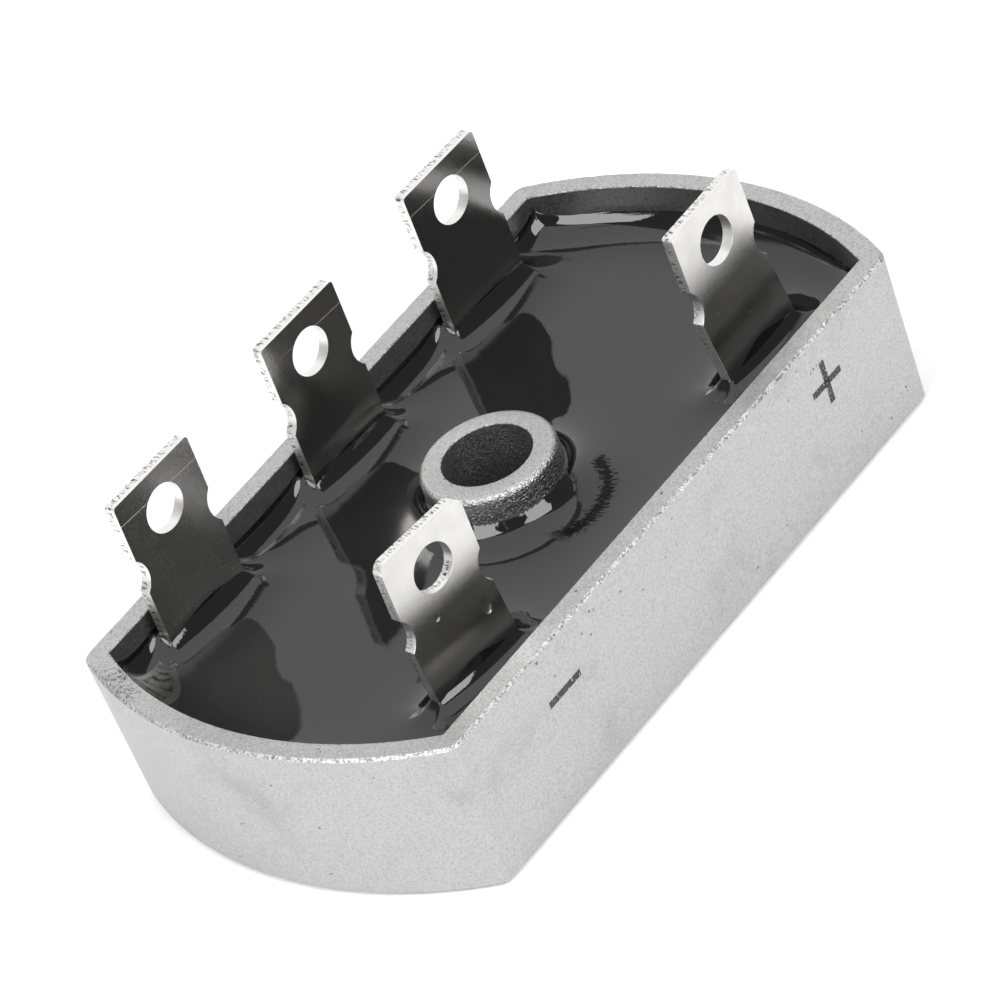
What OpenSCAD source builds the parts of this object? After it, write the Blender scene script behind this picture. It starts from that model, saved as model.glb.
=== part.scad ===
// Three-phase bridge rectifier module: a cast metal tray with a central mounting
// bore, five solder lugs, and a potted diode bridge inside.
// Millimetres. The origin is the middle of the tray's underside, +Z points up,
// X runs along the module, and the two direct-current lugs stand on the -Y side.

/* [Case] */
// Radius of the two round ends, at the rim
case_r = 28.5; // [23.7:0.1:34.3]
// Width across the two flat sides, at the rim
case_w = 30.5; // [25.4:0.1:36.6]
// Height from the underside to the rim
case_h = 11.75; // [9.75:0.05:14.1]
// Thickness of the wall at the rim
wall_t = 1.55; // [1.2:0.05:1.9]
// Thickness of the floor that carries the diode bridge
floor_t = 2.5; // [1.5:0.1:3]
// Radius of the four upright corners, at the rim
corner_r = 1.3; // [1:0.1:3]
// How far each casting wall leans over its whole height
case_draft = 0.48; // [0.1:0.02:0.6]
// Bevel around the underside
foot_bevel = 0.3; // [0.1:0.05:0.35]
// Bevel on the outer edge of the rim
rim_bevel = 0.2; // [0.05:0.05:0.35]

/* [Mounting boss] */
// Diameter of the through bore for the mounting screw
bore_d = 6.1; // [4:0.1:7.4]
// Wall between the bore and the outside of the boss
boss_wall = 1.55; // [1.2:0.05:1.9]
// Radius of the boss's top edge
boss_round = 0.45; // [0.1:0.05:0.8]
// How much wider the boss is at the floor than at its top, on the radius
boss_draft = 0.2; // [0.05:0.05:0.3]

/* [Potting] */
// Depth of the potting resin's flat surface below the rim
potting_drop = 3.55; // [2.6:0.05:4]
// How high the resin creeps up the wall and the boss
creep = 1.5; // [0.4:0.1:1.8]
// Thickness of the resin film at the top of that creep
film_t = 0.05; // [0.04:0.01:0.1]

/* [Lugs] */
// Width of each lug
lug_w = 7.4; // [6:0.1:8.9]
// Thickness of the lug's sheet metal
lug_t = 0.8; // [0.5:0.1:1]
// How far the lug tips stand above the rim
lug_rise = 8.95; // [7.5:0.05:12]
// Diameter of the wire hole in each lug
lug_hole_d = 3.3; // [2.4:0.1:3.8]
// Distance from a tip down to the middle of its wire hole
lug_hole_drop = 2.9; // [2.4:0.1:3.2]
// Distance from a tip down to the middle of the edge notches
notch_drop = 5.6; // [5:0.1:5.8]
// Height of an edge notch
notch_h = 2.6; // [2:0.1:3]
// Depth of an edge notch
notch_depth = 0.6; // [0.3:0.05:0.9]
// Radius of the tip corners
tip_r = 0.25; // [0.1:0.05:0.6]
// Radius at the inside of the bend above a lug's foot
foot_bend_r = 0.5; // [0.3:0.1:0.8]
// Length of the flat foot that is soldered down
foot_len = 2.2; // [1.5:0.1:2.6]

/* [Alternating-current lugs] */
// Distance along the module from an outer lug to the cavity's corner
ac_end_gap = 3.8; // [3:0.1:4.5]
// Gap between the lugs' backs and the wall, at the rim
ac_wall_gap = 0.7; // [0.5:0.05:1.2]
// Angle by which these lugs stand turned, seen from above
ac_turn = -2; // [-4:0.5:4]

/* [Direct-current lugs] */
// Distance along the module from the positive lug to the cavity's corner
plus_end_gap = 3; // [2.4:0.1:4]
// Distance along the module from the negative lug to the cavity's corner
minus_end_gap = 4.4; // [3:0.1:4.8]
// Distance from the upright part of these lugs to the wall, at the rim
dc_wall_gap = 4.6; // [4.2:0.1:5.2]
// Angle by which the positive lug stands turned, seen from above
plus_turn = 0.5; // [-3:0.5:3]
// Angle by which the negative lug stands turned, seen from above
minus_turn = -6.5; // [-8:0.5:3]
// How much lower the negative lug's tip stands
minus_drop = 0.6; // [0:0.1:0.8]
// Radius of the negative lug's worn tip corners
minus_tip_r = 0.8; // [0.3:0.1:1]
// Distance from a tip down to the bend above the sloping lower part
dc_bend_drop = 6.1; // [5.8:0.1:7]
// Radius of that gentle bend
dc_bend_r = 12; // [8:0.5:14]
// Slope of the lower part towards the case wall
dc_slope = 9; // [4:0.5:10]

/* [Diode bridge] */
// Thickness of the adhesive under the insulator
glue_t = 0.15; // [0.1:0.05:0.2]
// Thickness of the ceramic insulator
insulator_t = 0.65; // [0.5:0.05:0.8]
// Thickness of the two copper plates
plate_t = 0.8; // [0.5:0.05:0.9]
// Thickness of a diode chip with its solder coats
chip_t = 0.5; // [0.3:0.05:0.5]
// Edge length of a diode chip
chip_w = 4.4; // [3.6:0.1:5.3]
// Thickness of the copper bridges over the chips
jumper_t = 0.5; // [0.3:0.05:0.6]
// Thickness of the solder under each lug
solder_t = 0.15; // [0.1:0.05:0.2]
// Free edge between the cavity wall, the insulator and the plates
edge_gap = 0.8; // [0.6:0.05:0.9]
// Gap between the two copper plates
plate_gap = 1.2; // [0.8:0.1:1.4]
// Free edge of a plate beside a chip
chip_margin = 0.4; // [0.2:0.1:0.6]
// Free edge of a plate beside a lug's foot
lug_margin = 0.4; // [0.2:0.1:0.8]
// How much wider the hole round the boss is in the plates than in the insulator
ring_gap = 0.6; // [0.3:0.1:0.8]
// Width of the copper ring that leads the middle bridge round the boss
ring_w = 1.4; // [1:0.1:1.6]

/* [Hidden] */
$fn = 96;
// Overlap of a cutter past the face that it opens
past = 1;
// Longer than any part, for prisms that are cut to shape
far = 80;
// Edge of a lug's foot that its solder leaves free
solder_inset = 0.3;
// How far the corner cones stand proud of the faces that trim them
corner_proud = 0.01;
// The creep's curve is a little wider than high, so it meets the flat at an angle
creep_r = 1.05 * creep;

half_w = case_w / 2;
// Middle of an upright corner's rounding
corner_y = half_w - corner_r;
corner_x = sqrt((case_r - corner_r) ^ 2 - corner_y ^ 2);
corner_angle = atan2(corner_y, corner_x);

// The cavity's half width at the rim, and where its long side meets its round end
cavity_y = half_w - wall_t;
cavity_x = sqrt((case_r - wall_t) ^ 2 - cavity_y ^ 2);

boss_r = bore_d / 2 + boss_wall;
boss_foot_r = boss_r + boss_draft;
potting_z = case_h - potting_drop;

// Heights of the stacked layers, from the floor up
insulator_z = floor_t + glue_t;
plate_z = insulator_z + insulator_t;
chip_z = plate_z + plate_t;
jumper_z = chip_z + chip_t;
dc_foot_z = chip_z + solder_t;
ac_foot_z = jumper_z + jumper_t + solder_t;

lug_tip_z = case_h + lug_rise;
minus_tip_z = lug_tip_z - minus_drop;

// Places of the lugs' faces and middles
ac_y = cavity_y - ac_wall_gap - lug_t;
ac_pitch = cavity_x - ac_end_gap - lug_w / 2;
AC_X = [-ac_pitch, 0, ac_pitch];
dc_y = cavity_y - dc_wall_gap;
plus_x = cavity_x - plus_end_gap - lug_w / 2;
minus_x = minus_end_gap + lug_w / 2 - cavity_x;

// Insets from the case outline, and the holes round the boss
insulator_inset = wall_t + lean(floor_t) + edge_gap;
insulator_hole_r = boss_foot_r + edge_gap;
plate_inset = insulator_inset + edge_gap;
ring_r = insulator_hole_r + ring_gap;
plate_edge_y = half_w - plate_inset;

// The row of chips on the positive plate runs midway between its long edge and the
// boss, and so does the middle chip of the negative plate. The two outer ones lie
// behind the feet of the direct-current lugs
chip_y = (plate_edge_y + ring_r) / 2;
plus_foot_end = foot_start(lug_tip_z, dc_foot_z, dc_slope) + foot_len - dc_y;
outer_chip_y = plus_foot_end + lug_margin + plate_gap + chip_margin + chip_w / 2;
PLUS_CHIP = [for (x = AC_X) [x, chip_y]];
MINUS_CHIP = [[-ac_pitch, outer_chip_y], [0, -chip_y], [ac_pitch, outer_chip_y]];

// How far a casting wall stands inside the rim outline at height z
function lean(z) = case_draft * (1 - z / case_h);

// A prism with a four-sided section in YZ, running along X and centred on the module
module wall_prism(length, z0, z1, y0, y1) {
  rotate([90, 0, 90])
    linear_extrude(length, center = true)
      polygon([[-y0, z0], [y0, z0], [y1, z1], [-y1, z1]]);
}

// The case outline as a solid of full height, inset by in0 at the foot and in1 at the
// rim. Its corner cones stand a little proud of the round ends and of the flat sides,
// which trim them
module outline(in0, in1) {
  intersection() {
    cylinder(h = case_h, r1 = case_r - in0, r2 = case_r - in1);
    wall_prism(far, 0, case_h, half_w - in0, half_w - in1);
    union() {
      linear_extrude(case_h) {
        square([2 * corner_x, far], center = true);
        for (side = [-1, 1])
          polygon([[0, 0], side * far * [cos(corner_angle), sin(corner_angle)],
                   side * far * [cos(corner_angle), -sin(corner_angle)]]);
      }
      for (x = [-corner_x, corner_x], y = [-corner_y, corner_y])
        translate([x, y, 0])
          cylinder(h = case_h, r1 = corner_r - in0 + corner_proud,
            r2 = corner_r - in1 + corner_proud);
    }
  }
}

// The hollow of the case from its floor up to height z
module cavity(z) {
  in0 = wall_t + lean(floor_t);
  in1 = wall_t + lean(z);
  intersection() {
    translate([0, 0, floor_t])
      cylinder(h = z - floor_t, r1 = case_r - in0, r2 = case_r - in1);
    wall_prism(far, floor_t, z, half_w - in0, half_w - in1);
  }
}

// Radius of the boss at height z
function boss_at(z) =
  boss_foot_r - boss_draft * (z - floor_t) / (case_h - boss_round - floor_t);

// The boss without its bore
module boss() {
  rotate_extrude() {
    polygon([
      [0, 0], [boss_foot_r, 0], [boss_foot_r, floor_t],
      [boss_r, case_h - boss_round], [0, case_h - boss_round]
    ]);
    square([boss_r - boss_round, case_h]);
    translate([boss_r - boss_round, case_h - boss_round]) circle(boss_round);
  }
}

// The case outline, inset all round, with a clearance hole for the boss
module tray_outline(inset, hole_r) {
  difference() {
    intersection() {
      circle(case_r - inset);
      square([far, case_w - 2 * inset], center = true);
    }
    circle(hole_r);
  }
}

// Points of an arc, from one direction to another
function arc(middle, r, from, to, steps) =
  [for (i = [0 : steps]) middle + r * [cos(from + i * (to - from) / steps),
                                       sin(from + i * (to - from) / steps)]];

// Side view of a lug, Y across and Z up, drawn down its outer face and back up its
// inner one. The outer face of the upright part is at Y = 0 and the foot points to +Y.
// With a slope, a gentle bend leads over to a lower part that leans outwards
module lug_profile(tip_z, foot_z, slope) {
  bend = [-dc_bend_r, tip_z - dc_bend_drop];
  heel_r = foot_bend_r + lug_t;
  heel = [foot_start(tip_z, foot_z, slope), foot_z + heel_r];
  polygon(concat(
    [[0, tip_z]],
    slope > 0 ? arc(bend, dc_bend_r, 0, -slope, 12) : [],
    arc(heel, heel_r, 180 - slope, 270, 9),
    [[heel.x + foot_len, foot_z], [heel.x + foot_len, foot_z + lug_t]],
    arc(heel, foot_bend_r, 270, 180 - slope, 9),
    slope > 0 ? arc(bend, dc_bend_r + lug_t, -slope, 0, 12) : [],
    [[lug_t, tip_z]]
  ));
}

// Where the flat foot begins, measured from the outer face of the upright part
function foot_start(tip_z, foot_z, slope) =
  let (heel_r = foot_bend_r + lug_t,
       bend_end_z = tip_z - dc_bend_drop - dc_bend_r * sin(slope),
       drop = bend_end_z - heel_r * (1 + sin(slope)) - foot_z)
  heel_r * cos(slope) - dc_bend_r * (1 - cos(slope)) - drop * tan(slope);

// Front view of a lug, with its tip corners, edge notches and wire hole
module lug_front(tip_z, foot_z, round_r) {
  notch_r = (notch_h ^ 2 / 4 + notch_depth ^ 2) / (2 * notch_depth);
  difference() {
    union() {
      translate([-lug_w / 2, foot_z]) square([lug_w, tip_z - round_r - foot_z]);
      translate([round_r - lug_w / 2, foot_z]) square([lug_w - 2 * round_r, tip_z - foot_z]);
      for (side = [-1, 1])
        translate([side * (lug_w / 2 - round_r), tip_z - round_r]) circle(round_r);
    }
    translate([0, tip_z - lug_hole_drop]) circle(d = lug_hole_d);
    for (side = [-1, 1])
      translate([side * (lug_w / 2 + notch_r - notch_depth), tip_z - notch_drop])
        circle(notch_r);
  }
}

module lug(tip_z, foot_z, round_r, slope = 0) {
  intersection() {
    rotate([90, 0, 90])
      linear_extrude(lug_w + 2 * past, center = true)
        lug_profile(tip_z, foot_z, slope);
    rotate([90, 0, 0])
      linear_extrude(far, center = true)
        lug_front(tip_z, foot_z, round_r);
  }
}

// The solder layer between a lug's foot and what carries it
module lug_solder(tip_z, foot_z, slope = 0) {
  translate([solder_inset - lug_w / 2, foot_start(tip_z, foot_z, slope), foot_z - solder_t])
    cube([lug_w - 2 * solder_inset, foot_len - solder_inset, solder_t]);
}

// The alternating-current lugs stand with their backs to the +Y wall
module place_ac(i) {
  translate([AC_X[i], ac_y + lug_t, 0]) rotate(180 + ac_turn) children();
}

module place_plus() {
  translate([plus_x, -dc_y, 0]) rotate(plus_turn) children();
}

module place_minus() {
  translate([minus_x, -dc_y, 0]) rotate(minus_turn) children();
}

module case() {
  color("silver")
    difference() {
      union() {
        difference() {
          intersection() {
            outline(case_draft, 0);
            outline(case_draft + foot_bevel, case_draft + foot_bevel - case_h);
            outline(rim_bevel - case_h, rim_bevel);
          }
          cavity(case_h + past);
        }
        boss();
      }
      translate([0, 0, -past]) cylinder(h = case_h + 2 * past, d = bore_d);
    }
}

module insulator_adhesive() {
  color("whitesmoke")
    translate([0, 0, floor_t])
      linear_extrude(glue_t)
        tray_outline(insulator_inset, insulator_hole_r);
}

module ceramic_insulator() {
  color("ivory")
    translate([0, 0, insulator_z])
      linear_extrude(insulator_t)
        tray_outline(insulator_inset, insulator_hole_r);
}

// The part of the insulator that the copper plates may cover
module plate_field() {
  tray_outline(plate_inset, ring_r);
}

// The positive plate's side of the field, grown by a margin: the +Y half, the right
// end and the place under the positive lug
module plus_side(grow) {
  half_edge = outer_chip_y + chip_w / 2 + chip_margin + plate_gap;
  end_edge = ac_pitch + chip_w / 2 + chip_margin + plate_gap;
  lug_edge = plus_x - lug_w / 2 - lug_margin;
  translate([-far / 2, half_edge - grow]) square(far);
  translate([end_edge - grow, -far / 2]) square(far);
  translate([lug_edge - grow, plus_foot_end + lug_margin + grow - far]) square(far);
}

module plus_plate() {
  color("peru")
    translate([0, 0, plate_z])
      linear_extrude(plate_t)
        intersection() {
          plate_field();
          plus_side(0);
        }
}

module minus_plate() {
  color("peru")
    translate([0, 0, plate_z])
      linear_extrude(plate_t)
        difference() {
          plate_field();
          plus_side(plate_gap);
        }
}

module chip(place) {
  color("dimgray")
    translate([place.x - chip_w / 2, place.y - chip_w / 2, chip_z])
      cube([chip_w, chip_w, chip_t]);
}

module diode_chip_plus(i) { chip(PLUS_CHIP[i]); }
module diode_chip_minus(i) { chip(MINUS_CHIP[i]); }

// A copper bridge from the foot of a lug over one chip of each plate. The middle one
// leads round the boss
module ac_jumper(i) {
  pad_w = lug_w - 2 * lug_margin;
  pad_y = chip_y - chip_w / 2;
  end_y = MINUS_CHIP[i].y - chip_w / 2;
  color("peru")
    translate([0, 0, jumper_z])
      linear_extrude(jumper_t) {
        translate([AC_X[i] - pad_w / 2, pad_y]) square([pad_w, plate_edge_y - pad_y]);
        difference() {
          translate([AC_X[i] - chip_w / 2, end_y]) square([chip_w, chip_y - end_y]);
          if (i == 1) circle(ring_r);
        }
        if (i == 1) difference() {
          circle(ring_r + ring_w);
          circle(ring_r);
        }
      }
}

module ac_lug(i) {
  color("gainsboro") place_ac(i) lug(lug_tip_z, ac_foot_z, tip_r);
}

module plus_lug() {
  color("gainsboro") place_plus() lug(lug_tip_z, dc_foot_z, tip_r, dc_slope);
}

module minus_lug() {
  color("gainsboro") place_minus() lug(minus_tip_z, dc_foot_z, minus_tip_r, dc_slope);
}

module solder_ac_lug(i) {
  color("lightgray") place_ac(i) lug_solder(lug_tip_z, ac_foot_z);
}

module solder_plus_lug() {
  color("lightgray") place_plus() lug_solder(lug_tip_z, dc_foot_z, dc_slope);
}

module solder_minus_lug() {
  color("lightgray") place_minus() lug_solder(minus_tip_z, dc_foot_z, dc_slope);
}

// A 2D box from X = x0 to x1 that stands on Y = 0 and has rounded lower corners
module round_foot_box(x0, x1, h) {
  intersection() {
    translate([x0, 0]) square([x1 - x0, h]);
    union() {
      translate([x0, creep]) square([x1 - x0, h]);
      translate([x0 + creep_r, 0]) square([x1 - x0 - 2 * creep_r, h]);
      for (x = [x0 + creep_r, x1 - creep_r]) translate([x, creep]) circle(creep_r);
    }
  }
}

// The hollow above the resin. Its floor is flat and curves up to a thin film on the
// boss and on the walls
module above_resin() {
  top = potting_z + creep;
  inset = wall_t + lean(top) + film_t;
  h = creep + past;
  intersection() {
    translate([0, 0, potting_z])
      rotate_extrude() round_foot_box(boss_at(top) + film_t, case_r - inset, h);
    rotate([90, 0, 90])
      linear_extrude(far, center = true)
        translate([0, potting_z]) round_foot_box(inset - half_w, half_w - inset, h);
  }
}

// Resin fills the case around everything that stands in it
module potting() {
  color("black")
    difference() {
      cavity(potting_z + creep);
      above_resin();
      boss();
      insulator_adhesive();
      ceramic_insulator();
      plus_plate();
      minus_plate();
      for (i = [0 : 2]) {
        diode_chip_plus(i);
        diode_chip_minus(i);
        ac_jumper(i);
        ac_lug(i);
        solder_ac_lug(i);
      }
      plus_lug();
      minus_lug();
      solder_plus_lug();
      solder_minus_lug();
    }
}

case();
potting();
insulator_adhesive();
ceramic_insulator();
plus_plate();
minus_plate();
diode_chip_plus(0);  // diode_chip_plus_1
diode_chip_plus(1);  // diode_chip_plus_2
diode_chip_plus(2);  // diode_chip_plus_3
diode_chip_minus(0);  // diode_chip_minus_1
diode_chip_minus(1);  // diode_chip_minus_2
diode_chip_minus(2);  // diode_chip_minus_3
ac_jumper(0);  // ac_jumper_1
ac_jumper(1);  // ac_jumper_2
ac_jumper(2);  // ac_jumper_3
ac_lug(0);  // ac_lug_1
ac_lug(1);  // ac_lug_2
ac_lug(2);  // ac_lug_3
plus_lug();
minus_lug();
solder_ac_lug(0);  // solder_ac_lug_1
solder_ac_lug(1);  // solder_ac_lug_2
solder_ac_lug(2);  // solder_ac_lug_3
solder_plus_lug();
solder_minus_lug();
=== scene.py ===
"""Looks of a potted bridge rectifier: cast tray, crept resin, plated lugs, studio."""

import math

import bmesh
import bpy
import numpy as np
from bpy.props import FloatProperty, FloatVectorProperty, PointerProperty
from mathutils import Matrix, Vector, noise
from mathutils.bvhtree import BVHTree


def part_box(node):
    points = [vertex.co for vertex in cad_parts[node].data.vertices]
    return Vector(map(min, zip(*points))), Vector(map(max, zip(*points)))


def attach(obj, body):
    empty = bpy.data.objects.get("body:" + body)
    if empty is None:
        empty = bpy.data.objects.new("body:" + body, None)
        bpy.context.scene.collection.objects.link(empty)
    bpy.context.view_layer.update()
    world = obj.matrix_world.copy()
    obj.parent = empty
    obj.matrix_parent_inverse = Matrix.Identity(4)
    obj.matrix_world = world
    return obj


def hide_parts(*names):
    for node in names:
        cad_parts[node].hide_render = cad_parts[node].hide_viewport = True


bl_info = {
    "name": "Bridge rectifier module",
    "version": (1, 0, 0),
    "blender": (4, 5, 0),
    "location": "3D View > Sidebar > Rectifier",
    "description": "Cast tray, crept resin and plated lugs on a fixed frame",
    "category": "Add Mesh",
}

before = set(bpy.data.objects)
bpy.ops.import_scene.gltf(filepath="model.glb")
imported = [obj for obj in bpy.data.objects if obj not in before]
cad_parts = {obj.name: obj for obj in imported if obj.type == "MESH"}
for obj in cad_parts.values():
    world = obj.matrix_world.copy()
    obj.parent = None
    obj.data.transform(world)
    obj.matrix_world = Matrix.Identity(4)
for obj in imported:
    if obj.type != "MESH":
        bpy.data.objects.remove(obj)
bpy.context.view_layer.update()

MM = 0.001
AC_LUGS = ("ac_lug_1", "ac_lug_2", "ac_lug_3")
DC_LUGS = ("plus_lug", "minus_lug")
COPPER_NODES = ("plus_plate", "minus_plate", "ac_jumper_1", "ac_jumper_2", "ac_jumper_3")
CHIP_NODES = tuple(f"diode_chip_{side}_{i}" for side in ("plus", "minus") for i in (1, 2, 3))
SOLDER_NODES = tuple("solder_" + lug for lug in AC_LUGS + DC_LUGS)

# A point on each lug's front face in millimetres, and the face's turn
LUG_FACES = {
    "ac_lug_1": ((-15.708, 12.2), math.radians(-2)),
    "ac_lug_2": ((0, 12.2), math.radians(-2)),
    "ac_lug_3": ((15.708, 12.2), math.radians(-2)),
    "plus_lug": ((16.508, -9.1), math.radians(0.5)),
    "minus_lug": ((-15.108, -9.1), math.radians(-6.5)),
}
# The front part of a sheared edge is burnished by the die, and the rest is torn
BURNISHED = 0.3 * MM
HOLE_Z = 17.8 * MM
HOLE_REACH = 2 * MM
SCRIBE_Z = 19.05 * MM
SCRIBE_HALF = 0.03 * MM
SCRIBE_DEPTH = 0.02 * MM
SCRIBE_SLOPE = 0.04
# Place along the lug and up in millimetres, size and length of each dent
DENTS = ((-1.15, 14.04, 0.6, 1), (2.4, 12.2, 1, 1.3))
DENT_OUT = 0.03 * MM

# The tray, from the frame's case
CASE_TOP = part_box("case")[1]
RIM_Z = CASE_TOP.z
WALL = 1.55 * MM
DRAFT = 0.48 * MM
BOSS_R = 4.6 * MM
BORE_R = 3.05 * MM
CAVITY_Y = CASE_TOP.y - WALL
CAVITY_R = CASE_TOP.x - WALL
NICK_STEP = 0.16 * MM
NICK_SIZES = (0.35 * MM, 1.1 * MM)
MARK_INK = 0.03 * MM
# A patch of small casting pits on the rim, near its corner on the left
PITS_CENTRE = (-25.7 * MM, 11.2 * MM, RIM_Z)
PITS_REACH = 2.6 * MM

# The resin; its blend says how sharply two creeping edges turn into each other
POTTING_Z = RIM_Z - 3.55 * MM
RESIN_HOLE_R = 3.8 * MM
RESIN_UNDER = 0.2 * MM
RESIN_GRID = (420, 215)
RISE_BLEND = 1.5
# The walls lean, so where the resin meets them the cavity is this much narrower
CAVITY_LEAN = 0.15 * DRAFT
FILM_REACH = 0.12 * MM
FOOT_LEVEL = POTTING_Z + 1.7 * MM
SCUFF_CENTRE = (0.22 * MM, -2.7 * MM, 0)
SCUFF_R = 4.65 * MM
SCUFF_TURN = math.radians(-53.6)

# The photo's camera, in the part's frame
CAMERA_PLACE = Vector((-256.338, -299.962, 289.382)) * MM
CAMERA_RIGHT = Vector((0.5654363, -0.76694893, -0.30343225))
CAMERA_DOWN = Vector((-0.63318166, -0.16788277, -0.75557684))
CAMERA_AHEAD = Vector((0.5285478, 0.61935831, -0.58054501))
LENS_MM = 275.25
SENSOR_MM = 36

# The studio, in metres: name, place, side and brightness of each softbox
SOFTBOXES = (
    ("softbox_right", (0.0, -0.8, 0.6), 0.62, 6.5),
    ("softbox_left", (-0.8, 0.0, 0.6), 0.62, 6.5),
    ("softbox_top", (0.02, -0.03, 1.2), 1.42, 1.15),
)
# The backdrop: where it stands, and where its sides and its top fade into the room
BACKDROP_WAY = (0.65, 0.76, 0)
BACKDROP_SIDES = (0.3, 0.42)
BACKDROP_TOP = (0.8, 0.815)
BACKDROP_LIGHT = 1.08
ROOM_LIGHT = 0.25
FLOOR_HALF = 3

# How close counts as touching, for cutting planes and for level edges
TOUCHING = 0.0001 * MM
NEARLY = 0.01 * MM


def linear(hex_colour):
    """Linear red, green and blue of an sRGB hex value."""
    values = [int(hex_colour[i : i + 2], 16) / 255 for i in (1, 3, 5)]
    return tuple(v / 12.92 if v <= 0.04045 else ((v + 0.055) / 1.055) ** 2.4 for v in values)


def colour_property(name, description, hex_colour):
    """A colour setting whose default is an sRGB hex value."""
    return FloatVectorProperty(
        name=name, description=description, default=linear(hex_colour),
        subtype="COLOR", min=0, max=1,
    )


def length_property(name, description, millimetres, largest):
    """A length setting in metres whose default is given in millimetres."""
    return FloatProperty(
        name=name, description=description, default=millimetres * MM,
        min=0, max=largest * MM, precision=5, unit="LENGTH",
    )


class RectifierSizes(bpy.types.PropertyGroup):
    """Sizes of the details that the looks add."""

    wall_creep: length_property(
        "Wall creep", "Height that the resin climbs on the tray's walls", 1.9, 2.6)
    wall_film: length_property(
        "Wall film", "Height of the resin film on the front wall", 3.3, 3.5)
    boss_creep: length_property(
        "Boss creep", "Height that the resin climbs on the boss", 1.75, 2.6)
    lug_creep: length_property(
        "Lug creep", "Height that the resin climbs on the lugs", 1.7, 2.6)
    capillary: length_property(
        "Capillary length", "Reach of the resin's creep from what it climbs", 1.4, 3)
    edge_round: length_property(
        "Lug edge", "Width of the rounding on the lugs' sheared edges", 0.06, 0.2)
    nick_depth: length_property(
        "Rim nicks", "Depth of the nicks along the tray's outer rim", 0.06, 0.2)
    rim_round: length_property(
        "Inner rim", "Width of the rounding on the inner edges of rim and bore", 0.09, 0.2)
    mark_stroke: length_property(
        "Mark stroke", "Width of the printed polarity marks' strokes", 0.5, 1)
    dent_r: length_property(
        "Dent", "Radius of the larger dent in the negative lug", 0.5, 1)


class RectifierColours(bpy.types.PropertyGroup):
    """Base colours of the finishes."""

    aluminium: colour_property("Aluminium", "Colour of the cast tray", "#BEBEBE")
    rim: colour_property("Rim", "Colour of the tray's ground rim", "#C2C2C2")
    resin: colour_property("Resin", "Colour of the potting resin", "#0A0A0B")
    plating: colour_property("Plating", "Colour of the lugs' plated faces", "#D6D5D2")
    edge: colour_property("Sheared edge", "Colour of the lugs' sheared edges", "#ECEBE8")
    ink: colour_property("Ink", "Colour of the printed marks", "#2C2C2E")
    floor: colour_property("Floor", "Colour of the floor", "#F0F0F0")


# Sockets of a colour mix node, whose names are shared with its other kinds
FACTOR, COLOUR_A, COLOUR_B, MIXED = 0, 6, 7, 2


def add(tree, kind, inputs=None, **settings):
    """Adds a node, sets its settings, and fills its inputs with values or sockets."""
    node = tree.nodes.new(kind)
    for name, value in settings.items():
        setattr(node, name, value)
    for key, value in (inputs or {}).items():
        if isinstance(value, bpy.types.NodeSocket):
            tree.links.new(value, node.inputs[key])
        else:
            node.inputs[key].default_value = value
    return node


def new_material(name):
    """A material with an empty node tree."""
    material = bpy.data.materials.new(name)
    material.use_nodes = True
    material.node_tree.nodes.clear()
    return material, material.node_tree


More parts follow.
